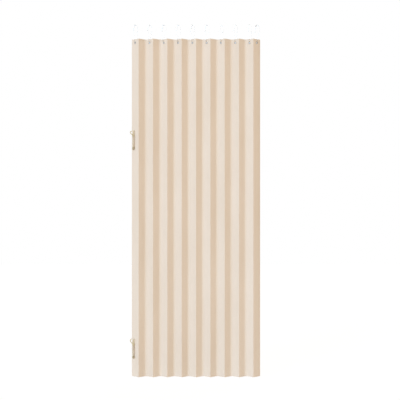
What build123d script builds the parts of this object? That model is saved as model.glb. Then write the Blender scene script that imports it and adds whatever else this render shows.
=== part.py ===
from build123d import *
from math import asin, atan2, cos, hypot, radians, sin, tan
import os

# Pleated fabric accordion door. One cloth is pressed into eighteen panels, which fold
# at their creases like an accordion. Open snap hooks hang it from a rod by metal
# eyelets, one in every second panel and one in the last, and two cord ties on its
# leading edge hold the folded door together.
# Millimetres, +Z up, the front faces -Y and the rod runs along X. The origin is the
# place where the rod bears in the first hook.

# Cloth
cloth_height = 2000.0
cloth_thickness = 0.6
panel_width = 55.6  # one pleat face, from crease to crease
panel_count = 18
hem_ply = 0.4  # one more layer of cloth, turned to the back
heading_depth = 45.0
hem_depth = 20.0
side_hem_width = 9.0

# Fold
rest_angle = 40.4  # between each panel and the rod, in degrees
fold_close = 25.0  # how much further each panel turns when the door is drawn aside
crease_clearance = 0.15  # between a panel's end and the crease's axis

# Snap hooks
hook_angle = 32.0  # between each hook's plane and the square to the rod, in degrees
arch_radius = 16.6  # to the middle of the wire
arch_wire = 6.0
leg_wire = 2.4
foot_radius = 7.0  # to the middle of the wire
hook_reach = 78.6  # from the arch's centre down to the foot's centre
bead_radius = 2.9
bead_reach = 20.0  # from the hook's middle out to each bead
bead_drop = 33.8  # from the rod's seat down to the two beads
tip_drop = 19.5  # from the rod's seat down to the free end of the arch
shank_wire = 3.2  # where the arch has thinned, above the front bead
taper_drop = 17.5  # from the rod's seat down to where the arch begins to thin
taper_length = 6.0
hang_clearance = 1.0  # between the hook's foot and the top of the eyelet's hole

# Eyelets of thin sheet metal: a grommet, and a washer at the back that it is rolled over
sheet_metal = 0.4
cloth_fit = 0.1  # between the grommet's barrel and what it passes through
curl_fit = 0.02  # between the washer and the curl that holds it
curl_width = 1.3
curl_height = 0.6
flange_crown = 0.8  # height of the domed flange
flange_edge = 0.2  # its height at the rim and at the hole
hook_eyelet_hole = 4.2  # radius
hook_eyelet_rim = 6.3  # radius
eyelet_drop = 22.3  # from the cloth's top edge down to the hole's centre
tie_eyelet_hole = 3.3  # radius
tie_eyelet_rim = 5.2  # radius
tie_eyelet_inset = 19.0  # from the leading edge to the hole's centre

# Cord ties: a cord goes through a tie eyelet and round the leading edge, a knot closes
# the loop in front, and two strands hang from it to a stopper knot
cord_diameter = 5.0
upper_tie_drop = 543.0  # from the cloth's top edge down to the hole
lower_tie_rise = 220.0  # from the cloth's bottom edge up to the hole
soft_clearance = 0.3
loop_length = 22.0  # from the hole's centre down to the loop's knot
loop_knot_width = 12.6
loop_knot_height = 14.0
strand_length = 60.0
end_knot_width = 14.0
end_knot_height = 15.0
knot_flat = 11.0  # diameter of the flat that the strands leave a knot by
knot_crown = 7.0  # diameter of a knot's rounded end
arc_share = 0.45  # share of the shorter run that an arc of a cord may use

# Sizes that follow from these
pitch = panel_width * cos(radians(rest_angle))
half_panel = panel_width / 2
half_cloth = cloth_thickness / 2
half_gap_closed = radians(90 - rest_angle - fold_close)
crease_taper = half_cloth / tan(half_gap_closed)
ply_inset = (half_cloth + hem_ply) / tan(half_gap_closed) + 2 * crease_clearance
arch_centre = arch_wire / 2 - arch_radius
foot_centre = arch_centre - hook_reach
arch_fall = arch_centre + bead_drop
arch_lean = atan2(bead_reach, arch_fall) - asin(arch_radius / hypot(bead_reach, arch_fall))
foot_fall = -bead_drop - foot_centre
foot_lean = atan2(bead_reach, foot_fall) - asin(foot_radius / hypot(bead_reach, foot_fall))
foot_rise = hook_eyelet_hole - leg_wire / 2 - hang_clearance
eyelet_height = foot_centre - foot_radius - foot_rise
cloth_top = eyelet_height + eyelet_drop
cloth_bottom = cloth_top - cloth_height
hook_panels = list(range(1, panel_count, 2)) + [panel_count]
tie_drops = {"upper": upper_tie_drop, "lower": cloth_height - lower_tie_rise}
tie_stand_off = end_knot_width / 2 + half_cloth + soft_clearance
strand_spacing = cord_diameter + soft_clearance


# Planes of a panel and of its hook

def panel_plane(number, height):
    """The level plane at a panel's middle: X along the panel, Y out of its back."""
    turn = -rest_angle if number % 2 == 1 else rest_angle
    along = (cos(radians(turn)), sin(radians(turn)), 0)
    return Plane(origin=((number - 1) * pitch, 0, height), x_dir=along, z_dir=(0, 0, 1))


def hook_plane(number):
    """The upright plane of a panel's hook: X towards the back, Y up, at the rod's height."""
    turn = radians(-hook_angle if number % 2 == 1 else hook_angle)
    origin = panel_plane(number, 0).origin
    return Plane(origin=origin, x_dir=(-sin(turn), cos(turn), 0), z_dir=(cos(turn), sin(turn), 0))


# Cloth panels

def panel_outline(number):
    """Cross-section corners. Each crease end is thinned on the inside of its fold."""
    left = -half_panel
    right = half_panel
    left_taper = 0
    right_taper = 0
    if number > 1:
        left += crease_clearance
        left_taper = crease_taper
    if number < panel_count:
        right -= crease_clearance
        right_taper = crease_taper
    outer, inner = (-half_cloth, half_cloth) if number % 2 == 0 else (half_cloth, -half_cloth)
    left_end = [(left + left_taper, inner), (left, 0), (left, outer)]
    right_end = [(right - right_taper, outer), (right, 0), (right, inner)]
    return left_end + right_end


def ply_strip(number, start, end, low):
    """Section of the extra layer of cloth on a panel's back, at a height."""
    with BuildSketch(panel_plane(number, low)) as strip:
        with Locations(((start + end) / 2, half_cloth + hem_ply / 2)):
            Rectangle(end - start, hem_ply)
    return strip.sketch


def punched_hole(number, along, height, hole_radius):
    """Outline of the hole in the cloth that a grommet's barrel passes through."""
    level = panel_plane(number, height)
    centre = level.from_local_coords((along, 0, 0))
    with BuildSketch(Plane(origin=centre, x_dir=level.x_dir, z_dir=level.y_dir)) as hole:
        Circle(hole_radius + sheet_metal + cloth_fit)
    return hole.sketch


def pleat_panel(number):
    """One face of the pleated cloth with its hems and its punched holes."""
    start = -half_panel if number == 1 else ply_inset - half_panel
    end = half_panel if number == panel_count else half_panel - ply_inset
    side_length = cloth_height - heading_depth - hem_depth
    cut = 2 * (cloth_thickness + hem_ply)
    with BuildPart() as panel:
        with BuildSketch(panel_plane(number, cloth_bottom)):
            with BuildLine():
                Polyline(*panel_outline(number), close=True)
            make_face()
        extrude(amount=cloth_height)
        extrude(ply_strip(number, start, end, cloth_top - heading_depth), heading_depth)
        extrude(ply_strip(number, start, end, cloth_bottom), hem_depth)
        side_low = cloth_bottom + hem_depth
        if number == 1:
            extrude(ply_strip(number, start, start + side_hem_width, side_low), side_length)
            for drop in tie_drops.values():
                along = tie_eyelet_inset - half_panel
                hole = punched_hole(number, along, cloth_top - drop, tie_eyelet_hole)
                extrude(hole, cut, both=True, mode=Mode.SUBTRACT)
        if number == panel_count:
            extrude(ply_strip(number, end - side_hem_width, end, side_low), side_length)
        if number in hook_panels:
            hole = punched_hole(number, 0, eyelet_height, hook_eyelet_hole)
            extrude(hole, cut, both=True, mode=Mode.SUBTRACT)
    return panel


# Eyelets

def eyelet(number, along, height, hole_radius, rim_radius, plies):
    """A grommet and its washer, two solids that clamp the cloth between them."""
    level = panel_plane(number, height)
    centre = level.from_local_coords((along, 0, 0))
    section = Plane(origin=centre, x_dir=level.x_dir, z_dir=(0, 0, 1))
    front = -half_cloth
    back = half_cloth + plies * hem_ply
    barrel_radius = hole_radius + sheet_metal
    curl_front = back + sheet_metal + curl_fit
    curl_edge = hole_radius + curl_width
    washer_middle = (barrel_radius + cloth_fit + rim_radius) / 2
    with BuildPart() as rings:
        with BuildSketch(section):
            with BuildLine():
                Polyline(
                    (rim_radius, front - flange_edge),
                    (rim_radius, front),
                    (barrel_radius, front),
                    (barrel_radius, curl_front),
                    (curl_edge, curl_front),
                )
                ThreePointArc(
                    (curl_edge, curl_front),
                    ((curl_edge + hole_radius) / 2, curl_front + curl_height),
                    (hole_radius, curl_front),
                )
                Line((hole_radius, curl_front), (hole_radius, front - flange_edge))
                ThreePointArc(
                    (hole_radius, front - flange_edge),
                    ((hole_radius + rim_radius) / 2, front - flange_crown),
                    (rim_radius, front - flange_edge),
                )
            make_face()
        revolve(axis=Axis(centre, level.y_dir))
        with BuildSketch(section) as washer:
            with Locations((washer_middle, back + sheet_metal / 2)):
                Rectangle(rim_radius - barrel_radius - cloth_fit, sheet_metal)
        revolve(washer.sketch, axis=Axis(centre, level.y_dir))
    return rings


# Snap hooks

def wire(start, end, radius):
    """A straight round wire between two places."""
    length = (end - start).length
    with BuildPart(Plane(origin=start, z_dir=end - start)) as rod:
        Cylinder(radius, length, align=(Align.CENTER, Align.CENTER, Align.MIN))
    return rod.part


def snap_hook(number):
    """One open hook: a stout arch over the rod, and a thin foot through the eyelet."""
    plane = hook_plane(number)
    front_side, back_side = -1, 1

    def arch_leg(side, height):
        """The middle of the arch's leg at a height. The legs spread towards the beads."""
        return (side * (bead_reach - (height + bead_drop) * tan(arch_lean)), height)

    def foot_leg(side):
        """Where the foot's leg runs into its curve."""
        return (side * foot_radius * cos(foot_lean), foot_centre - foot_radius * sin(foot_lean))

    arch_join = arch_centre + arch_radius * sin(arch_lean)
    front_bead = arch_leg(front_side, -bead_drop)
    back_bead = arch_leg(back_side, -bead_drop)
    taper_top = arch_leg(front_side, -taper_drop)
    taper_foot = arch_leg(front_side, -taper_drop - taper_length)
    free_end = arch_leg(back_side, -tip_drop)
    with BuildPart() as hook:
        with BuildLine(plane) as arch:
            Line(taper_top, arch_leg(front_side, arch_join))
            ThreePointArc(
                arch_leg(front_side, arch_join),
                (0, arch_centre + arch_radius),
                arch_leg(back_side, arch_join),
            )
            Line(arch_leg(back_side, arch_join), free_end)
        with BuildSketch(Plane(origin=arch.line @ 0, z_dir=arch.line % 0)):
            Circle(arch_wire / 2)
        sweep()
        with BuildSketch(Plane(origin=arch.line @ 0, z_dir=arch.line % 0)):
            Circle(arch_wire / 2)
        with BuildSketch(Plane(origin=plane.from_local_coords(taper_foot), z_dir=arch.line % 0)):
            Circle(shank_wire / 2)
        loft()
        add(
            wire(
                plane.from_local_coords(taper_foot),
                plane.from_local_coords(front_bead),
                shank_wire / 2,
            )
        )
        with BuildLine(plane) as foot:
            Line(front_bead, foot_leg(front_side))
            ThreePointArc(
                foot_leg(front_side), (0, foot_centre - foot_radius), foot_leg(back_side)
            )
            Line(foot_leg(back_side), back_bead)
        with BuildSketch(Plane(origin=foot.line @ 0, z_dir=foot.line % 0)):
            Circle(leg_wire / 2)
        sweep()
        with Locations(*[plane.from_local_coords(bead) for bead in (front_bead, back_bead)]):
            Sphere(bead_radius)
        with Locations(plane.from_local_coords(free_end)):
            Sphere(arch_wire / 2)
    return hook


# Cord ties

def tie_point(drop, inset, stand_off, height):
    """A place by its distance from the leading edge, out of the front, and above the hole."""
    level = panel_plane(1, cloth_top - drop + height)
    return level.from_local_coords((inset - half_panel, -stand_off, 0))


def corner_radii(points):
    """The largest arc that the two runs at each corner of a route allow."""
    radii = []
    for before, corner, after in zip(points, points[1:], points[2:]):
        arriving = corner - before
        leaving = after - corner
        half_turn = radians(arriving.get_angle(leaving)) / 2
        shorter = min(arriving.length, leaving.length)
        radii.append(arc_share * shorter / tan(half_turn))
    return radii


def cord_tube(name, points):
    """The cord along straight runs joined by tangent arcs."""
    radii = corner_radii(points)
    with BuildPart() as tube:
        with BuildLine() as route:
            FilletPolyline(*points, radius=radii)
        with BuildSketch(Plane(origin=route.line @ 0, z_dir=route.line % 0)) as section:
            Circle(cord_diameter / 2)
        sweep()
    length = sum(edge.length for edge in route.edges())
    share = tube.part.volume / (section.sketch.area * length)
    print(f"{name}: length {length:.1f}, volume over section times length {share:.4f}")
    print(f"{name}: radii", [round(radius, 1) for radius in radii])
    return tube


def knot(top, width, height, flat_on_top):
    """A round knot with one flat side, where the strands enter it."""
    flat_height, crown_height = (0, -height) if flat_on_top else (-height, 0)
    with BuildPart() as ball:
        with BuildSketch(Plane(origin=top, x_dir=(1, 0, 0), z_dir=(0, -1, 0))):
            with BuildLine():
                Line((0, flat_height), (knot_flat / 2, flat_height))
                ThreePointArc(
                    (knot_flat / 2, flat_height),
                    (width / 2, -height / 2),
                    (knot_crown / 2, crown_height),
                )
                Line((knot_crown / 2, crown_height), (0, crown_height))
                Line((0, crown_height), (0, flat_height))
            make_face()
        revolve(axis=Axis(top, (0, 0, 1)))
    return ball


def tie_loop(name, drop):
    """The cord through the eyelet and round the leading edge, and the knot that closes it."""
    route = [
        (20.6, tie_stand_off, -26.0),
        (22.4, 8.2, -13.2),
        (19.3, tie_stand_off, -0.2),
        (18.8, -6.4, -0.2),
        (-5.6, -6.0, 0.4),
        (-7.0, 5.6, -3.0),
        (-5.0, 8.8, -13.0),
        (6.4, 8.9, -20.4),
        (16.4, tie_stand_off, -27.0),
    ]
    tube = cord_tube(name, [tie_point(drop, *place) for place in route])
    top = tie_point(drop, tie_eyelet_inset, tie_stand_off, -loop_length)
    closing_knot = knot(top, loop_knot_width, loop_knot_height, flat_on_top=False)
    with BuildPart() as loop:
        add(tube.part)
        add(closing_knot.part)
    return loop


def tie_strand(name, drop, side):
    """One of the two strands that hang side by side; side is -1 at the left, 1 at the right."""
    route = [
        (0, 0, 0),
        (0, 0, -11),
        (0.9, 0.3, -26),
        (0.5, 0.5, -40),
        (0, 0, -50),
        (0, 0, -strand_length),
    ]
    start_inset = tie_eyelet_inset + side * strand_spacing / 2
    start_height = -loop_length - loop_knot_height
    points = [
        tie_point(drop, start_inset + side * across, tie_stand_off + out, start_height + height)
        for across, out, height in route
    ]
    return cord_tube(name, points)


def end_knot(drop):
    """The stopper knot that joins the two strands."""
    height = -loop_length - loop_knot_height - strand_length
    top = tie_point(drop, tie_eyelet_inset, tie_stand_off, height)
    return knot(top, end_knot_width, end_knot_height, flat_on_top=True)


# Build and write every piece

def save(builder, name):
    """Label a finished piece and write its file."""
    builder.part.label = name
    export_step(builder.part, f"parts/{name}.step")


os.makedirs("parts", exist_ok=True)

for number in range(1, panel_count + 1):
    save(pleat_panel(number), f"pleat_panel_{number:02d}")

for index, number in enumerate(hook_panels, start=1):
    save(snap_hook(number), f"hook_{index:02d}")
    rings = eyelet(number, 0, eyelet_height, hook_eyelet_hole, hook_eyelet_rim, plies=1)
    save(rings, f"eyelet_{index:02d}")

for place, drop in tie_drops.items():
    along = tie_eyelet_inset - half_panel
    rings = eyelet(1, along, cloth_top - drop, tie_eyelet_hole, tie_eyelet_rim, plies=0)
    save(rings, f"{place}_tie_eyelet")
    save(tie_loop(f"{place}_tie_loop", drop), f"{place}_tie_loop")
    save(tie_strand(f"{place}_tie_left_strand", drop, -1), f"{place}_tie_left_strand")
    save(tie_strand(f"{place}_tie_right_strand", drop, 1), f"{place}_tie_right_strand")
    save(end_knot(drop), f"{place}_tie_end_knot")
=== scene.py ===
import math

import bmesh
import bpy
from mathutils import Matrix, Vector, noise


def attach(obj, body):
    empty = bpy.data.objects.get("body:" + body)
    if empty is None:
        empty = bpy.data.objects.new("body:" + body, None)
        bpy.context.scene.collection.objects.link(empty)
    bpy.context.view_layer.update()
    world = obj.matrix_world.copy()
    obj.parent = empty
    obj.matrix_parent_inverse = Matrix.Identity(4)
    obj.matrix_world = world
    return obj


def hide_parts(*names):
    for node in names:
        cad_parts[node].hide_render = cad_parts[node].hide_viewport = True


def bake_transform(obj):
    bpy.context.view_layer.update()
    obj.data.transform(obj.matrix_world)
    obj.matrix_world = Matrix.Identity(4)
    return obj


# Pleated fabric accordion door: the cloth, eyelets, hooks and cord ties as they look.
# Metres, in the CAD frame. The sizes repeat those of the part's source.

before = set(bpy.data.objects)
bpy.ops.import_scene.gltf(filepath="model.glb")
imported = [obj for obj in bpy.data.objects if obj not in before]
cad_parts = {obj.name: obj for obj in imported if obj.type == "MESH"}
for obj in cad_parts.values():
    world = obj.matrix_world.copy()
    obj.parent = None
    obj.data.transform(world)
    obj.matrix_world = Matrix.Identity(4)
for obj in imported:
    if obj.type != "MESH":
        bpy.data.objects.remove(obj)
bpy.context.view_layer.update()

# Sizes of the part

cloth_height = 2.0
panel_width = 0.0556
panel_count = 18
rest_angle = math.radians(40.4)
half_cloth = 0.0003
hem_ply = 0.0004
heading_depth = 0.045
hem_depth = 0.020
side_hem_width = 0.009
eyelet_height = -0.1012
eyelet_drop = 0.0223
cloth_top = eyelet_height + eyelet_drop
cloth_bottom = cloth_top - cloth_height
hook_panels = list(range(1, panel_count, 2)) + [panel_count]
hook_eyelet_hole = 0.0042
hook_eyelet_rim = 0.0063
tie_eyelet_hole = 0.0033
tie_eyelet_rim = 0.0052
tie_eyelet_inset = 0.019
upper_tie_drop = 0.543
lower_tie_rise = 0.220
tie_drops = {"upper": upper_tie_drop, "lower": cloth_height - lower_tie_rise}
tie_stand_off = 0.0076
sheet_metal = 0.0004
cord_diameter = 0.005
strand_spacing = 0.0053
loop_length = 0.022
loop_knot_width = 0.0132
loop_knot_height = 0.014
strand_length = 0.060
end_knot_width = 0.0140
end_knot_height = 0.015

pitch = panel_width * math.cos(rest_angle)
pleat_depth = panel_width * math.sin(rest_angle) / 2
flat_width = panel_width * panel_count


# Camera

view_width = 2.3785  # what the picture spans at the back creases
view_distance = 5.130  # from the camera to the back creases
view_centre = (0.3837, 0.018, -1.0321)


def place_camera():
    """The photograph's view: level, straight at the door from about five metres."""
    data = bpy.data.cameras.new("photo_camera")
    data.sensor_fit = "HORIZONTAL"
    data.angle = 2 * math.atan(view_width / 2 / view_distance)
    camera = bpy.data.objects.new("photo_camera", data)
    camera.location = (view_centre[0], view_centre[1] - view_distance, view_centre[2])
    camera.rotation_euler = (math.radians(90), 0, 0)
    bpy.context.scene.collection.objects.link(camera)
    bpy.context.scene.camera = camera


place_camera()


# Materials

class Nodes:
    """A material's node tree, built node by node."""

    def __init__(self, name):
        self.material = bpy.data.materials.new(name)
        self.material.use_nodes = True
        self.tree = self.material.node_tree
        self.shader = self.tree.nodes["Principled BSDF"]

    def add(self, kind, **settings):
        node = self.tree.nodes.new(kind)
        for key, value in settings.items():
            setattr(node, key, value)
        return node

    def link(self, source, target):
        self.tree.links.new(source, target)

    def set(self, **values):
        for key, value in values.items():
            self.shader.inputs[key.replace("_", " ")].default_value = value

    def mapped(self, source, scale):
        """Coordinates stretched by a scale on each axis."""
        mapping = self.add("ShaderNodeMapping")
        mapping.inputs["Scale"].default_value = scale
        self.link(source, mapping.inputs["Vector"])
        return mapping.outputs["Vector"]

    def noise(self, vector, scale, detail=2.0, roughness=0.5):
        node = self.add("ShaderNodeTexNoise")
        node.inputs["Scale"].default_value = scale
        node.inputs["Detail"].default_value = detail
        node.inputs["Roughness"].default_value = roughness
        self.link(vector, node.inputs["Vector"])
        return node.outputs["Fac"]

    def wave(self, vector, direction, scale):
        node = self.add("ShaderNodeTexWave", bands_direction=direction)
        node.inputs["Scale"].default_value = scale
        self.link(vector, node.inputs["Vector"])
        return node.outputs["Fac"]

    def math(self, operation, first, second):
        node = self.add("ShaderNodeMath", operation=operation)
        for socket, value in zip(node.inputs, (first, second)):
            if isinstance(value, float):
                socket.default_value = value
            else:
                self.link(value, socket)
        return node.outputs["Value"]

    def ramp(self, factor, low, high, dark, light):
        """A colour between dark and light as factor goes from low to high."""
        node = self.add("ShaderNodeValToRGB")
        first, last = node.color_ramp.elements
        first.position = low
        first.color = (*dark, 1)
        last.position = high
        last.color = (*light, 1)
        self.link(factor, node.inputs["Fac"])
        return node.outputs["Color"]

    def bump(self, height, strength, distance):
        node = self.add("ShaderNodeBump")
        node.inputs["Strength"].default_value = strength
        node.inputs["Distance"].default_value = distance
        self.link(height, node.inputs["Height"])
        self.link(node.outputs["Normal"], self.shader.inputs["Normal"])

    def uv(self, name):
        return self.add("ShaderNodeUVMap", uv_map=name).outputs["UV"]

    def place(self):
        return self.add("ShaderNodeTexCoord").outputs["Object"]


def wave_scale(period):
    """The wave texture's scale for bands this far apart."""
    return math.pi / 10 / period


thread_spacing = 0.0008
yarn_spacing = 0.0011


def cloth_material(name, tint):
    """Plain-woven cream cloth with slubs along both threads and a slightly uneven dye."""
    nodes = Nodes(name)
    flat = nodes.uv("cloth")
    warp = nodes.noise(nodes.mapped(flat, (1500, 28, 1)), 1.0, 3.0)
    weft = nodes.noise(nodes.mapped(flat, (30, 1300, 1)), 1.0, 3.0)
    dye = nodes.noise(nodes.mapped(flat, (6, 2.4, 1)), 1.0, 2.0)
    threads = nodes.math("ADD", nodes.math("MULTIPLY", warp, 0.38), nodes.math("MULTIPLY", weft, 0.30))
    tone = nodes.math("ADD", threads, nodes.math("MULTIPLY", dye, 0.32))
    dark = tuple(channel * shade for channel, shade in zip(tint, (0.945, 0.93, 0.905)))
    light = tuple(min(1.0, channel * shade) for channel, shade in zip(tint, (1.045, 1.05, 1.06)))
    nodes.link(nodes.ramp(tone, 0.30, 0.70, dark, light), nodes.shader.inputs["Base Color"])
    over = nodes.wave(flat, "X", wave_scale(thread_spacing))
    under = nodes.wave(flat, "Y", wave_scale(thread_spacing))
    weave = nodes.math("MULTIPLY", over, under)
    height = nodes.math("ADD", nodes.math("MULTIPLY", weave, 0.6), nodes.math("MULTIPLY", threads, 1.1))
    nodes.bump(height, 0.35, 0.00012)
    nodes.set(Roughness=0.88, Specular_IOR_Level=0.22, Sheen_Weight=0.12, Sheen_Roughness=0.45)
    return nodes.material


def thread_material():
    """Sewing thread, twisted, a shade lighter than the cloth."""
    nodes = Nodes("sewing_thread")
    place = nodes.place()
    fibres = nodes.noise(place, 2600.0, 2.0)
    nodes.link(
        nodes.ramp(fibres, 0.3, 0.7, (0.70, 0.60, 0.49), (0.86, 0.78, 0.67)),
        nodes.shader.inputs["Base Color"],
    )
    nodes.bump(fibres, 0.3, 0.00005)
    nodes.set(Roughness=0.6, Specular_IOR_Level=0.35, Sheen_Weight=0.1)
    return nodes.material


def cord_material(name, dark, light):
    """Twisted cord: yarns lie across each strand, with painted shade darker in the grooves between
    them.
    """
    nodes = Nodes(name)
    along = nodes.uv("yarn")
    twist = nodes.wave(along, "DIAGONAL", wave_scale(yarn_spacing))
    fibres = nodes.noise(nodes.mapped(along, (900, 5200, 1)), 1.0, 3.0)
    faded = nodes.noise(nodes.place(), 55.0, 2.0)
    # The twist bands paint shade into the grooves between the yarns; the fibre and fade noise is the
    # cord's own uneven tone.
    tone = nodes.math("ADD", nodes.math("MULTIPLY", twist, 0.45), nodes.math("MULTIPLY", fibres, 0.30))
    tone = nodes.math("ADD", tone, nodes.math("MULTIPLY", faded, 0.25))
    nodes.link(
        nodes.ramp(tone, 0.25, 0.75, dark, light),
        nodes.shader.inputs["Base Color"],
    )
    height = nodes.math("ADD", nodes.math("MULTIPLY", twist, 0.7), nodes.math("MULTIPLY", fibres, 0.5))
    nodes.bump(height, 0.6, 0.00025)
    nodes.set(Roughness=0.72, Specular_IOR_Level=0.3, Sheen_Weight=0.15, Sheen_Roughness=0.4)
    return nodes.material


def eyelet_material(name, dark, light, metallic):
    """A hazy finish on pressed metal, a little worn: bare plating or enamel."""
    nodes = Nodes(name)
    place = nodes.place()
    haze = nodes.noise(place, 420.0, 4.0, 0.6)
    wear = nodes.noise(place, 1500.0, 3.0, 0.55)
    nodes.link(
        nodes.ramp(haze, 0.3, 0.75, dark, light),
        nodes.shader.inputs["Base Color"],
    )
    rough = nodes.ramp(wear, 0.3, 0.8, (0.28, 0.28, 0.28), (0.48, 0.48, 0.48))
    nodes.link(rough, nodes.shader.inputs["Roughness"])
    nodes.bump(wear, 0.15, 0.00004)
    nodes.set(Metallic=metallic)
    return nodes.material


def plastic_material():
    """Clear moulded plastic with faint flow lines and a slightly frosted skin."""
    nodes = Nodes("clear_moulded_plastic")
    place = nodes.place()
    flow = nodes.noise(nodes.mapped(place, (300, 300, 60)), 1.0, 2.0)
    skin = nodes.noise(place, 900.0, 3.0)
    rough = nodes.ramp(skin, 0.3, 0.8, (0.06, 0.06, 0.06), (0.16, 0.16, 0.16))
    nodes.link(rough, nodes.shader.inputs["Roughness"])
    nodes.link(
        nodes.ramp(flow, 0.3, 0.7, (0.62, 0.63, 0.635), (0.69, 0.695, 0.70)),
        nodes.shader.inputs["Base Color"],
    )
    nodes.bump(flow, 0.10, 0.0003)
    nodes.set(Transmission_Weight=1.0, IOR=1.49)
    return nodes.material


cloth_look = cloth_material("cream_woven_cloth", (0.823, 0.731, 0.631))
thread_look = thread_material()
strand_look = cord_material("strand_cord_yarn", (0.58, 0.49, 0.36), (0.92, 0.83, 0.68))
loop_look = cord_material("loop_cord_yarn", (0.50, 0.43, 0.25), (0.88, 0.79, 0.55))
# The end knots are the strands' cord painted darker: painted shade for the crevices of the knot.
knot_shade_look = cord_material("knot_cord_painted_shade", (0.36, 0.30, 0.18), (0.74, 0.65, 0.46))
nickel_look = eyelet_material("black_nickel", (0.085, 0.085, 0.088), (0.20, 0.195, 0.19), 1.0)
enamel_look = eyelet_material("cream_enamel", (0.66, 0.58, 0.47), (0.76, 0.68, 0.57), 0.0)
plastic_look = plastic_material()


# Meshes

def new_piece(name, mesh, material):
    """An object of a finished mesh in the row frame, with its finish."""
    piece = bpy.data.objects.new(name, mesh)
    bpy.context.scene.collection.objects.link(piece)
    mesh.materials.append(material)
    return piece


def finish_mesh(name, builder, sharp_angle):
    """A mesh from a bmesh: outward faces, smooth but for edges sharper than an angle."""
    bmesh.ops.recalc_face_normals(builder, faces=builder.faces)
    for face in builder.faces:
        face.smooth = True
    for edge in builder.edges:
        if len(edge.link_faces) == 2:
            edge.smooth = edge.calc_face_angle(0.0) < sharp_angle
    mesh = bpy.data.meshes.new(name)
    builder.to_mesh(mesh)
    builder.free()
    return mesh


# Cords

strand_lay = 0.0150  # length in which a cord's three strands turn once
knot_lay = 0.0120
knot_cord = 0.0043  # thickness of the cord where a knot pulls it tight
core_cord = 0.0049  # thickness of the two strands inside a knot
rope_step = 0.0007  # between the rings of a rope's mesh


def tie_point(drop, inset, stand_off, height):
    """A place by its distance from the leading edge, out of the front, and above the hole."""
    along = Vector((math.cos(rest_angle), -math.sin(rest_angle), 0)) * (inset - panel_width / 2)
    front = Vector((-math.sin(rest_angle), -math.cos(rest_angle), 0)) * stand_off
    return along + front + Vector((0, 0, cloth_top - drop + height))


def smooth_line(points):
    """Points along the NURBS spline that has the route's points as its control points."""
    curve = bpy.data.curves.new("route", "CURVE")
    curve.dimensions = "3D"
    curve.resolution_u = 32
    spline = curve.splines.new("NURBS")
    spline.points.add(len(points) - 1)
    for target, point in zip(spline.points, points):
        target.co = (*point, 1)
    spline.order_u = 3
    spline.use_endpoint_u = True
    holder = bpy.data.objects.new("route", curve)
    bpy.context.scene.collection.objects.link(holder)
    bpy.context.view_layer.update()
    mesh = bpy.data.meshes.new_from_object(holder)
    line = [vertex.co.copy() for vertex in mesh.vertices]
    bpy.data.objects.remove(holder)
    bpy.data.meshes.remove(mesh)
    return line


def evenly(line, step, closed=False):
    """The same line with its points a step apart."""
    points = line + [line[0]] if closed else line
    lengths = [0.0]
    for a, b in zip(points, points[1:]):
        lengths.append(lengths[-1] + (b - a).length)
    count = max(8, round(lengths[-1] / step))
    spaced = []
    index = 0
    for k in range(count + (0 if closed else 1)):
        wanted = lengths[-1] * k / count
        while index < len(points) - 2 and lengths[index + 1] < wanted:
            index += 1
        share = (wanted - lengths[index]) / max(1e-12, lengths[index + 1] - lengths[index])
        spaced.append(points[index].lerp(points[index + 1], min(1.0, share)))
    return spaced, lengths[-1]


def line_frames(line, closed):
    """A direction and two normals at each point, carried along without twisting."""
    count = len(line)
    tangents = []
    for k in range(count):
        before = line[(k - 1) % count] if closed or k > 0 else line[k]
        after = line[(k + 1) % count] if closed or k < count - 1 else line[k]
        tangents.append((after - before).normalized())
    side = tangents[0].orthogonal().normalized()
    frames = []
    for k, tangent in enumerate(tangents):
        if k > 0:
            side = tangents[k - 1].rotation_difference(tangent) @ side
            side = (side - tangent * side.dot(tangent)).normalized()
        frames.append((tangent, side, tangent.cross(side)))
    slip = 0.0
    if closed:
        turned = tangents[-1].rotation_difference(tangents[0]) @ side
        first = frames[0]
        slip = math.atan2(turned.dot(first[2]), turned.dot(first[1]))
    return frames, slip


def rope_into(builder, line, diameter, lay, closed=False, sides=10):
    """Three twisted strands along a line, each a closed tube, with UVs in metres."""
    yarn = builder.loops.layers.uv.get("yarn") or builder.loops.layers.uv.new("yarn")
    squeeze = 1.04  # the strands press into each other a little
    radius = diameter / 2 / (1 + 2 / math.sqrt(3)) * squeeze
    offset = diameter / 2 - radius
    spaced, length = evenly(line, rope_step, closed)
    frames, slip = line_frames(spaced, closed)
    count = len(spaced)
    turns = length / lay
    if closed:
        turns = round(turns)
    for strand in range(3):
        rings = []
        centres = []
        for k in range(count):
            share = k / count if closed else k / (count - 1)
            angle = 2 * math.pi * (turns * share + strand / 3) - slip * share
            tangent, u, v = frames[k]
            centres.append(spaced[k] + (u * math.cos(angle) + v * math.sin(angle)) * offset)
        for k in range(count):
            before = centres[(k - 1) % count] if closed or k > 0 else centres[k]
            after = centres[(k + 1) % count] if closed or k < count - 1 else centres[k]
            direction = (after - before).normalized()
            outward = centres[k] - spaced[k]
            outward = (outward - direction * outward.dot(direction)).normalized()
            across = direction.cross(outward)
            ring = []
            for j in range(sides):
                turn = 2 * math.pi * j / sides
                spot = outward * math.cos(turn) + across * math.sin(turn)
                ring.append(builder.verts.new(centres[k] + spot * radius))
            rings.append(ring)
        step = length / count
        spans = count if closed else count - 1
        for k in range(spans):
            here = rings[k]
            there = rings[(k + 1) % count]
            for j in range(sides):
                m = (j + 1) % sides
                face = builder.faces.new((here[j], here[m], there[m], there[j]))
                corners = ((k, j), (k, j + 1), (k + 1, j + 1), (k + 1, j))
                for loop, (a, b) in zip(face.loops, corners):
                    loop[yarn].uv = (a * step, b * 2 * math.pi * radius / sides)
        if not closed:
            for ring, centre, sign in ((rings[0], centres[0], -1), (rings[-1], centres[-1], 1)):
                k = 0 if sign < 0 else -1
                tip = builder.verts.new(centre + frames[k][0] * sign * radius * 0.6)
                for j in range(sides):
                    face = builder.faces.new((ring[j], ring[(j + 1) % sides], tip))
                    for loop in face.loops:
                        loop[yarn].uv = (0.0, j * radius)


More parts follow.
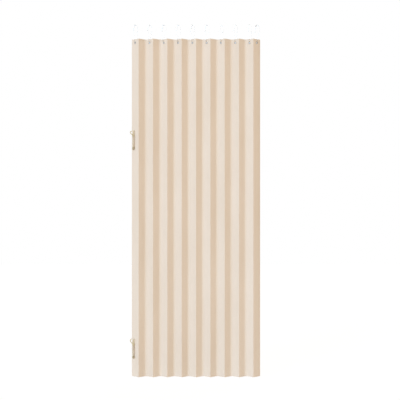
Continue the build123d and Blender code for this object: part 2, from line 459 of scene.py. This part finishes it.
def rope_piece(name, points, look):
    """A twisted cord that follows a route, and the line it follows."""
    line = smooth_line(points)
    builder = bmesh.new()
    rope_into(builder, line, cord_diameter, strand_lay)
    mesh = finish_mesh(name, builder, math.radians(60))
    return new_piece(name, mesh, look), line


def knot_piece(name, top, width, height, turn, stub_below, look):
    """A pulled-tight knot: the cord goes over and under itself round the two strands."""
    middle = top - Vector((0, 0, height / 2))
    sway = 0.00145
    ring_radius = width / 2 - knot_cord / 2 - sway
    rise = (height - knot_cord) / 2
    lean = Matrix.Rotation(math.radians(7), 3, "Y") @ Matrix.Rotation(turn, 3, "Z")
    line = []
    count = 180
    for k in range(count):
        t = 2 * math.pi * k / count
        reach = ring_radius + sway * math.cos(3 * t)
        spot = Vector((reach * math.cos(2 * t), reach * math.sin(2 * t), rise * math.sin(3 * t)))
        line.append(middle + lean @ spot)
    builder = bmesh.new()
    rope_into(builder, line, knot_cord, knot_lay, closed=True)
    along = Vector((math.cos(rest_angle), -math.sin(rest_angle), 0))
    for side in (-1, 1):
        across = along * (side * strand_spacing / 2)
        high = top + across * 0.9 - Vector((0, 0, 0.0012))
        low = top + across - Vector((0, 0, height + (stub_below if side < 0 else stub_below * 0.6)))
        rope_into(builder, [high, high.lerp(low, 0.5), low], core_cord, strand_lay)
    mesh = finish_mesh(name, builder, math.radians(60))
    return new_piece(name, mesh, look)


def make_tie(place, drop):
    """One cord tie: the loop round the edge, its knot, the two strands and the end knot."""
    loop_route = [
        (0.0206, tie_stand_off, -0.0260),
        (0.0224, 0.0082, -0.0132),
        (0.0193, tie_stand_off, -0.0002),
        (0.0188, -0.0064, -0.0002),
        (-0.0056, -0.0060, 0.0004),
        (-0.0070, 0.0056, -0.0030),
        (-0.0050, 0.0088, -0.0130),
        (0.0064, 0.0089, -0.0204),
        (0.0164, tie_stand_off, -0.0270),
    ]
    strand_route = [
        (0.0, 0.0, 0.0),
        (0.0, 0.0, -0.011),
        (0.0009, 0.0003, -0.026),
        (0.0005, 0.0005, -0.040),
        (0.0, 0.0, -0.050),
        (0.0, 0.0, -strand_length),
    ]
    loop_points = [tie_point(drop, *spot) for spot in loop_route]
    loop, loop_line = rope_piece(f"{place}_tie_loop_cord", loop_points, loop_look)
    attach(loop, "panel_01")
    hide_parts(f"{place}_tie_loop")
    knot_top = tie_point(drop, tie_eyelet_inset, tie_stand_off, -loop_length)
    loop_knot = knot_piece(
        f"{place}_tie_loop_knot", knot_top, loop_knot_width, loop_knot_height, 0.4, 0.0006, loop_look
    )
    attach(loop_knot, "panel_01")
    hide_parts(f"{place}_tie_loop")
    start = -loop_length - loop_knot_height
    end_top = tie_point(drop, tie_eyelet_inset, tie_stand_off, start - strand_length)
    end_knot = knot_piece(
        f"{place}_tie_stopper_knot", end_top, end_knot_width, end_knot_height, 1.3, 0.0016, knot_shade_look
    )
    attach(end_knot, "panel_01")
    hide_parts(f"{place}_tie_end_knot")
    for side, word in ((-1, "left"), (1, "right")):
        inset = tie_eyelet_inset + side * strand_spacing / 2
        points = [
            tie_point(drop, inset + side * across, tie_stand_off + out, start + height)
            for across, out, height in strand_route
        ]
        strand, strand_line = rope_piece(f"{place}_tie_{word}_strand_cord", points, strand_look)
        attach(strand, "panel_01")
        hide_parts(f"{place}_tie_{word}_strand")


for tie_place, tie_drop in tie_drops.items():
    make_tie(tie_place, tie_drop)


# The pleated cloth

ridge_radius = 0.0016
valley_radius = 0.0180
seam_shift = 0.0108  # a piece ends this far past the middle of its own panel


def crease_radius(crease):
    """Creases with odd numbers are pressed sharp at the front, even ones lie at the back."""
    return ridge_radius if crease % 2 == 1 else valley_radius


def crease_saving(crease):
    """How much shorter the cloth is round a crease than along two faces that meet sharply."""
    return 2 * crease_radius(crease) * (math.tan(rest_angle) - rest_angle)


def panel_axes(number):
    """A panel's middle, its direction and its back normal, all level."""
    sign = -1 if number % 2 == 1 else 1
    along = Vector((math.cos(rest_angle), sign * math.sin(rest_angle), 0))
    back = Vector((-sign * math.sin(rest_angle), math.cos(rest_angle), 0))
    return Vector(((number - 1) * pitch, 0, 0)), along, back


def cloth_line(distance):
    """The cloth's middle line and its back normal, at a distance from the leading edge."""
    crease = min(panel_count - 1, max(1, round(distance / panel_width)))
    radius = crease_radius(crease)
    setback = radius * math.tan(rest_angle)
    past = distance - crease * panel_width
    if abs(past) < setback:
        angle = past / setback * rest_angle
        front = -1 if crease % 2 == 1 else 1
        depth = pleat_depth - radius / math.cos(rest_angle)
        centre = Vector(((crease - 0.5) * pitch, front * depth, 0))
        spoke = Vector((math.sin(angle), front * math.cos(angle), 0))
        return centre + spoke * radius, spoke * front
    number = min(panel_count, max(1, math.ceil(distance / panel_width - 1e-9)))
    middle, along, back = panel_axes(number)
    return middle + along * (distance - (number - 0.5) * panel_width), back


def smoothstep(low, high, value):
    share = min(1.0, max(0.0, (value - low) / (high - low)))
    return share * share * (3 - 2 * share)


def hem_thickness(distance, height):
    """How much the turned hems add at the back, with a soft folded edge."""
    edge = 0.0005
    heading = smoothstep(cloth_top - heading_depth - edge, cloth_top - heading_depth, height)
    foot = 1 - smoothstep(cloth_bottom + hem_depth, cloth_bottom + hem_depth + edge, height)
    lead = 1 - smoothstep(side_hem_width, side_hem_width + edge, distance)
    trail = smoothstep(flat_width - side_hem_width - edge, flat_width - side_hem_width, distance)
    return hem_ply * max(heading, foot, lead, trail)


def cloth_wave(distance, height):
    """How far the cloth stands off its flat panel: a slight bow, soft waves and puckers."""
    number = min(panel_count, max(1, math.ceil(distance / panel_width)))
    share = distance / panel_width - number + 0.5
    swell = math.cos(math.pi * share)
    drift = noise.noise(Vector((number * 7.31, height * 2.6, 0.4)))
    ripple = noise.noise(Vector((distance * 34.0, height * 9.0, 3.7)))
    wave = swell * (0.00050 + 0.00045 * drift) * (1 if number % 2 == 1 else -1)
    wave += swell * 0.00016 * ripple
    from_heading = abs(height - (cloth_top - heading_depth + 0.003))
    from_hem = abs(height - (cloth_bottom + hem_depth - 0.003))
    pucker = math.exp(-from_heading / 0.006) + math.exp(-from_hem / 0.005)
    wave += 0.00009 * pucker * swell * noise.noise(Vector((distance * 240.0, height * 60.0, 9.1)))
    return wave


def front_point(distance, height, off):
    """A point off the cloth's middle surface; off is positive towards the back."""
    place, back = cloth_line(distance)
    calm = eyelet_calm(distance, height)
    spot = place + back * (off + cloth_wave(distance, height) * calm)
    return Vector((spot.x, spot.y, height)), back


def eyelet_places(number):
    """The holes in a panel: (distance from the leading edge, height, hole radius, rim)."""
    holes = []
    if number in hook_panels:
        holes.append(((number - 0.5) * panel_width, eyelet_height, hook_eyelet_hole, hook_eyelet_rim))
    if number == 1:
        for drop in tie_drops.values():
            holes.append((tie_eyelet_inset, cloth_top - drop, tie_eyelet_hole, tie_eyelet_rim))
    return holes


all_holes = {number: eyelet_places(number) for number in range(1, panel_count + 1)}


def eyelet_calm(distance, height):
    """0 where an eyelet clamps the cloth flat, 1 away from it."""
    number = min(panel_count, max(1, math.ceil(distance / panel_width)))
    calm = 1.0
    for hole_distance, hole_height, _, rim in all_holes[number]:
        reach = math.hypot(distance - hole_distance, height - hole_height)
        calm = min(calm, smoothstep(rim * 1.15, rim * 2.6, reach))
    return calm


def cloth_rows():
    """Heights of the cloth mesh's rows, closer at the hems and round the eyelets."""
    depths = [0.0, 0.0004, 0.0015, 0.004, 0.0075]
    depths += [0.0115 + 0.0027 * k for k in range(9)]
    depths += [0.0372, 0.0400, 0.0420, 0.0440, 0.0448, 0.0452, 0.0460, 0.0480]
    depths += [0.0520, 0.0580, 0.0660, 0.0760]
    depth = 0.088
    while depth < cloth_height - 0.030:
        near_tie = any(abs(depth + 0.006 - drop) < 0.014 for drop in tie_drops.values())
        depths.append(depth)
        depth += 0.0030 if near_tie else 0.0135
    depths += [cloth_height - back for back in (0.0285, 0.0240, 0.0215, 0.0205, 0.0198, 0.0185, 0.0170)]
    depths += [cloth_height - back for back in (0.0150, 0.0115, 0.0080, 0.0045, 0.0018, 0.0005, 0.0)]
    return [cloth_top - depth for depth in depths]


def cloth_columns(start, end):
    """Distances of the mesh's columns between two places, closer round the creases."""
    marks = {round(start, 7), round(end, 7)}
    for crease in range(1, panel_count):
        middle = crease * panel_width
        setback = crease_radius(crease) * math.tan(rest_angle)
        steps = 5 if crease % 2 == 1 else 8
        for k in range(-steps, steps + 1):
            marks.add(round(middle + setback * k / steps, 7))
        for extra in (0.0012, 0.0030):
            marks.add(round(middle - setback - extra, 7))
            marks.add(round(middle + setback + extra, 7))
    for number in range(1, panel_count + 1):
        centre = (number - 0.5) * panel_width
        for k in range(-6, 7):
            marks.add(round(centre + 0.0032 * k, 7))
    for edge in (0.0, flat_width):
        inward = 1 if edge == 0.0 else -1
        for extra in (0.0004, 0.0015, 0.0040, side_hem_width, side_hem_width + 0.0006):
            marks.add(round(edge + inward * extra, 7))
    inside = sorted(mark for mark in marks if start - 1e-9 <= mark <= end + 1e-9)
    columns = [inside[0]]
    for mark in inside[1:]:
        if mark - columns[-1] > 0.00028:
            columns.append(mark)
    columns[-1] = inside[-1]
    return columns


rows = cloth_rows()


def flat_cloth(start, end, holes):
    """The flat pattern of one piece: its points (distance, height) and its faces."""
    columns = cloth_columns(start, end)
    points = [(column, row) for row in rows for column in columns]
    wide = len(columns)
    faces = {}
    for j in range(len(rows) - 1):
        for i in range(wide - 1):
            corner = j * wide + i
            faces[(i, j)] = (corner, corner + 1, corner + wide + 1, corner + wide)
    for hole_distance, hole_height, radius, rim in holes:
        half = rim * 1.12
        inside_columns = [i for i, c in enumerate(columns) if abs(c - hole_distance) < half]
        inside_rows = [j for j, r in enumerate(rows) if abs(r - hole_height) < half]
        left, right = inside_columns[0] - 1, inside_columns[-1] + 1
        high, low = inside_rows[0] - 1, inside_rows[-1] + 1
        left = max(0, left)
        right = min(wide - 1, right)
        for j in range(high, low):
            for i in range(left, right):
                faces.pop((i, j))
        ring = [high * wide + i for i in range(left, right)]
        ring += [j * wide + right for j in range(high, low)]
        ring += [low * wide + i for i in range(right, left, -1)]
        ring += [j * wide + left for j in range(low, high, -1)]
        previous = ring
        for reach in (rim * 1.02, (rim + radius) / 2 + 0.0002, radius + sheet_metal + 0.0001):
            circle = []
            for index in ring:
                across = points[index][0] - hole_distance
                up = points[index][1] - hole_height
                far = math.hypot(across, up)
                circle.append(len(points))
                points.append((hole_distance + across / far * reach, hole_height + up / far * reach))
            for k in range(len(ring)):
                m = (k + 1) % len(ring)
                corners = (previous[k], previous[m], circle[m], circle[k])
                faces[("ring", hole_height, reach, k)] = corners
            previous = circle
    return points, list(faces.values())


def cloth_piece(name, start, end, holes):
    """A length of the cloth with its hems, front, back and cut edges, and flat UVs."""
    points, faces = flat_cloth(start, end, holes)
    used = sorted({index for face in faces for index in face})
    builder = bmesh.new()
    flat = builder.loops.layers.uv.new("cloth")
    front, rear = {}, {}
    for index in used:
        distance, height = points[index]
        near, _ = front_point(distance, height, -half_cloth)
        far, _ = front_point(distance, height, half_cloth + hem_thickness(distance, height))
        front[index] = builder.verts.new(near)
        rear[index] = builder.verts.new(far)
    place = {}
    for table in (front, rear):
        for index, vertex in table.items():
            place[vertex] = points[index]
    border = {}
    for face in faces:
        builder.faces.new([front[index] for index in face])
        builder.faces.new([rear[index] for index in reversed(face)])
        for a, b in zip(face, face[1:] + face[:1]):
            if (b, a) in border:
                del border[(b, a)]
            else:
                border[(a, b)] = True
    for a, b in border:
        builder.faces.new((front[b], front[a], rear[a], rear[b]))
    for face in builder.faces:
        for loop in face.loops:
            loop[flat].uv = place[loop.vert]
    mesh = finish_mesh(name, builder, math.radians(38))
    return new_piece(name, mesh, cloth_look)


# Stitches

stitch_step = 0.0034
stitch_length = 0.0027
stitch_thread = 0.00019  # radius
stitch_profile = (  # share of the stitch, lift off the cloth, share of the thread's radius
    (-0.5, -0.00016, 0.35),
    (-0.36, 0.00003, 0.9),
    (0.0, 0.00009, 1.0),
    (0.36, 0.00003, 0.9),
    (0.5, -0.00016, 0.35),
)


def stitch_into(builder, middle, direction, out):
    """One stitch: a short thread that dips into the cloth at both ends."""
    across = direction.cross(out)
    thread = stitch_thread
    rings = []
    for share, lift, swell in stitch_profile:
        centre = middle + direction * (share * stitch_length) + out * lift
        ring = []
        for k in range(6):
            turn = math.pi * k / 3
            spot = out * math.cos(turn) * thread * swell + across * math.sin(turn) * thread * swell
            ring.append(builder.verts.new(centre + spot))
        rings.append(ring)
    for here, there in zip(rings, rings[1:]):
        for k in range(6):
            m = (k + 1) % 6
            builder.faces.new((here[k], here[m], there[m], there[k]))
    builder.faces.new(rings[0][::-1])
    builder.faces.new(rings[-1])


def stitch_rows():
    """Every stitch of the hems: its distance, its height and the way that its line runs."""
    step = stitch_step
    across = int(flat_width / step)
    up = int((cloth_height - 0.004) / step)
    stitches = []
    for height in (cloth_top - heading_depth + 0.0030, cloth_bottom + hem_depth - 0.0030):
        stitches += [(0.0012 + step * k, height, "across") for k in range(across)]
    for distance in (side_hem_width - 0.0018, flat_width - side_hem_width + 0.0018):
        stitches += [(distance, cloth_top - 0.003 - step * k, "up") for k in range(up)]
    return stitches


all_stitches = stitch_rows()


def stitching_piece(name, start, end):
    """The stitches of the hems on one length of the cloth, front and back."""
    builder = bmesh.new()
    for distance, height, way in all_stitches:
        if not start <= distance < end:
            continue
        for face, shift in ((-1, 0.0), (1, stitch_step / 2)):
            here, rise = (distance + shift, height) if way == "across" else (distance, height - shift)
            if here > flat_width - 0.001:
                continue
            off = -half_cloth if face < 0 else half_cloth + hem_ply
            middle, back = front_point(here, rise, off)
            ahead, _ = front_point(min(flat_width, here + 0.0004), rise, off)
            behind, _ = front_point(max(0.0, here - 0.0004), rise, off)
            direction = (ahead - behind).normalized() if way == "across" else Vector((0, 0, 1))
            stitch_into(builder, middle, direction, back * face)
    mesh = finish_mesh(name, builder, math.radians(75))
    return new_piece(name, mesh, thread_look)


def bend_across(pieces):
    """The pieces' places are baked into their meshes, where they stay."""
    for piece in pieces:
        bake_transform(piece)


def hang_cloth():
    """All lengths of the cloth: the first rides on panel_01, the others have their places baked in."""
    for number in range(1, panel_count + 1):
        start = 0.0 if number == 1 else (number - 1.5) * panel_width + seam_shift
        end = flat_width if number == panel_count else (number - 0.5) * panel_width + seam_shift
        cloth = cloth_piece(f"cloth_{number:02d}", start, end, all_holes[number])
        stitching = stitching_piece(f"stitching_{number:02d}", start, end)
        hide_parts(f"pleat_panel_{number:02d}")
        flat_length = end - start
        if number == 1:
            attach(cloth, "panel_01")
            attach(stitching, "panel_01")
        else:
            bend_across((cloth, stitching))
            flat_length -= crease_saving(number - 1)


hang_cloth()


# Eyelets

def lathe(builder, centre, axis, profile, sides):
    """A closed profile of (radius, distance along the axis) turned round an axis."""
    u = axis.orthogonal().normalized()
    v = axis.cross(u)
    rings = []
    for k in range(sides):
        turn = 2 * math.pi * k / sides
        out = u * math.cos(turn) + v * math.sin(turn)
        spots = [centre + out * radius + axis * rise for radius, rise in profile]
        rings.append([builder.verts.new(spot) for spot in spots])
    for k in range(sides):
        here, there = rings[k], rings[(k + 1) % sides]
        for j in range(len(profile)):
            m = (j + 1) % len(profile)
            builder.faces.new((here[j], here[m], there[m], there[j]))


def arc(centre, radius, first, last, count):
    """Points (radius, rise) on an arc from one angle to another, in degrees."""
    points = []
    for k in range(count + 1):
        turn = math.radians(first + (last - first) * k / count)
        points.append((centre[0] + radius * math.cos(turn), centre[1] + radius * math.sin(turn)))
    return points


def eyelet_piece(name, number, distance, height, hole, rim, plies, look):
    """A grommet with a domed front flange, rolled at the back over its washer."""
    middle, along, back_way = panel_axes(number)
    centre = middle + along * (distance - (number - 0.5) * panel_width) + Vector((0, 0, height))
    front = -half_cloth
    rear = half_cloth + plies * hem_ply
    wall = sheet_metal
    dome = 0.00055
    width = rim - hole
    outer = []
    for k in range(13):
        share = k / 12
        swell = math.sin(math.pi * share * 1.04) ** 0.8 if share < 0.96 else 0.0
        outer.append((rim - width * share, front - wall * 0.75 - dome * swell))
    inner_front = [(hole + wall, front + 0.00002), (rim - 0.0003, front - 0.00001)]
    curl_middle = (hole + wall + 0.0004, rear + wall + 0.00002 + 0.0002)
    curl = arc((curl_middle[0], curl_middle[1]), 0.00058, 180, 0, 10)
    curl_back = arc((curl_middle[0], curl_middle[1]), 0.00022, 0, 180, 6)
    grommet = [(rim, front - 0.00006)] + outer + [(hole, front + 0.0002), (hole, rear)]
    grommet += curl + curl_back + inner_front
    builder = bmesh.new()
    lathe(builder, centre, back_way, grommet, 56)
    washer_in = hole + wall + 0.0001
    washer = [
        (washer_in, rear),
        (rim - 0.0001, rear),
        (rim, rear + 0.00012),
        (rim - 0.0002, rear + wall),
        ((rim + washer_in) / 2 + 0.0004, rear + wall * 1.25),
        (washer_in, rear + wall),
    ]
    lathe(builder, centre, back_way, washer, 56)
    mesh = finish_mesh(name, builder, math.radians(50))
    piece = new_piece(name, mesh, look)
    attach(piece, f"panel_{number:02d}")
    return piece


for index, number in enumerate(hook_panels, start=1):
    ring = eyelet_piece(
        f"hook_eyelet_{index:02d}",
        number,
        (number - 0.5) * panel_width,
        eyelet_height,
        hook_eyelet_hole,
        hook_eyelet_rim,
        1,
        nickel_look,
    )
    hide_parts(f"eyelet_{index:02d}")

for tie_place, tie_drop in tie_drops.items():
    ring = eyelet_piece(
        f"{tie_place}_tie_eyelet_ring",
        1,
        tie_eyelet_inset,
        cloth_top - tie_drop,
        tie_eyelet_hole,
        tie_eyelet_rim,
        0,
        enamel_look,
    )
    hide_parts(f"{tie_place}_tie_eyelet")


# Hooks keep their CAD shape

for index in range(1, len(hook_panels) + 1):
    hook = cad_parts[f"hook_{index:02d}"]
    hook.data.materials.clear()
    hook.data.materials.append(plastic_look)
    for face in hook.data.polygons:
        face.use_smooth = True


# Light, background and floor

def white_behind(tree, lit, strength):
    """A shader that camera, mirror and glass rays see as plain white."""
    path = tree.nodes.new("ShaderNodeLightPath")
    seen = tree.nodes.new("ShaderNodeMath")
    seen.operation = "MAXIMUM"
    tree.links.new(path.outputs["Is Camera Ray"], seen.inputs[0])
    tree.links.new(path.outputs["Is Transmission Ray"], seen.inputs[1])
    either = tree.nodes.new("ShaderNodeMath")
    either.operation = "MAXIMUM"
    tree.links.new(seen.outputs[0], either.inputs[0])
    tree.links.new(path.outputs["Is Glossy Ray"], either.inputs[1])
    share = tree.nodes.new("ShaderNodeMath")
    share.operation = "MULTIPLY"
    share.inputs[1].default_value = strength
    tree.links.new(either.outputs[0], share.inputs[0])
    mix = tree.nodes.new("ShaderNodeMixShader")
    tree.links.new(share.outputs[0], mix.inputs["Fac"])
    tree.links.new(lit, mix.inputs[1])
    return mix


def sun_lamp(name, side, fall, angle, colour, level):
    """A soft far lamp from one side; level is what a face square to it receives."""
    data = bpy.data.lights.new(name, "SUN")
    data.energy = level * math.pi
    data.angle = math.radians(angle)
    data.color = colour
    lamp = bpy.data.objects.new(name, data)
    turn = math.radians(side)
    direction = Vector((math.sin(turn), math.cos(turn), -fall))
    lamp.rotation_euler = direction.to_track_quat("-Z", "Y").to_euler()
    bpy.context.scene.collection.objects.link(lamp)


def light_the_door():
    world = bpy.data.worlds.new("studio")
    bpy.context.scene.world = world
    world.use_nodes = True
    tree = world.node_tree
    ambient = tree.nodes["Background"]
    ambient.inputs["Color"].default_value = (1.0, 0.824, 0.635, 1)
    ambient.inputs["Strength"].default_value = 0.672
    white = tree.nodes.new("ShaderNodeBackground")
    white.inputs["Color"].default_value = (1, 1, 1, 1)
    mix = white_behind(tree, ambient.outputs[0], 1.0)
    tree.links.new(white.outputs[0], mix.inputs[2])
    tree.links.new(mix.outputs[0], tree.nodes["World Output"].inputs["Surface"])
    sun_lamp("window_light", side=35, fall=0.30, angle=24, colour=(0.504, 0.736, 1.0), level=0.538)
    sun_lamp("warm_fill", side=-20, fall=0.20, angle=70, colour=(1.0, 0.62, 0.20), level=0.10)
    sun_lamp("back_fill", side=205, fall=0.35, angle=30, colour=(0.62, 0.80, 1.0), level=0.34)


def lay_floor():
    """A plain pale floor just under the door."""
    mesh = bpy.data.meshes.new("floor")
    low = cloth_bottom - 0.016
    left, right, reach = -9, 9.7, 9
    corners = [(left, -reach, low), (right, -reach, low), (right, reach, low), (left, reach, low)]
    mesh.from_pydata(corners, [], [(0, 1, 2, 3)])
    floor = bpy.data.objects.new("floor", mesh)
    bpy.context.scene.collection.objects.link(floor)
    nodes = Nodes("pale_floor")
    nodes.set(Base_Color=(0.86, 0.86, 0.86, 1), Roughness=0.9, Specular_IOR_Level=0.1)
    tree = nodes.tree
    white = tree.nodes.new("ShaderNodeEmission")
    white.inputs["Color"].default_value = (1, 1, 1, 1)
    white.inputs["Strength"].default_value = 1.06
    mix = white_behind(tree, nodes.shader.outputs[0], 0.88)
    tree.links.new(white.outputs[0], mix.inputs[2])
    tree.links.new(mix.outputs[0], tree.nodes["Material Output"].inputs["Surface"])
    mesh.materials.append(nodes.material)


light_the_door()
lay_floor()
bpy.context.scene.view_settings.view_transform = "Standard"
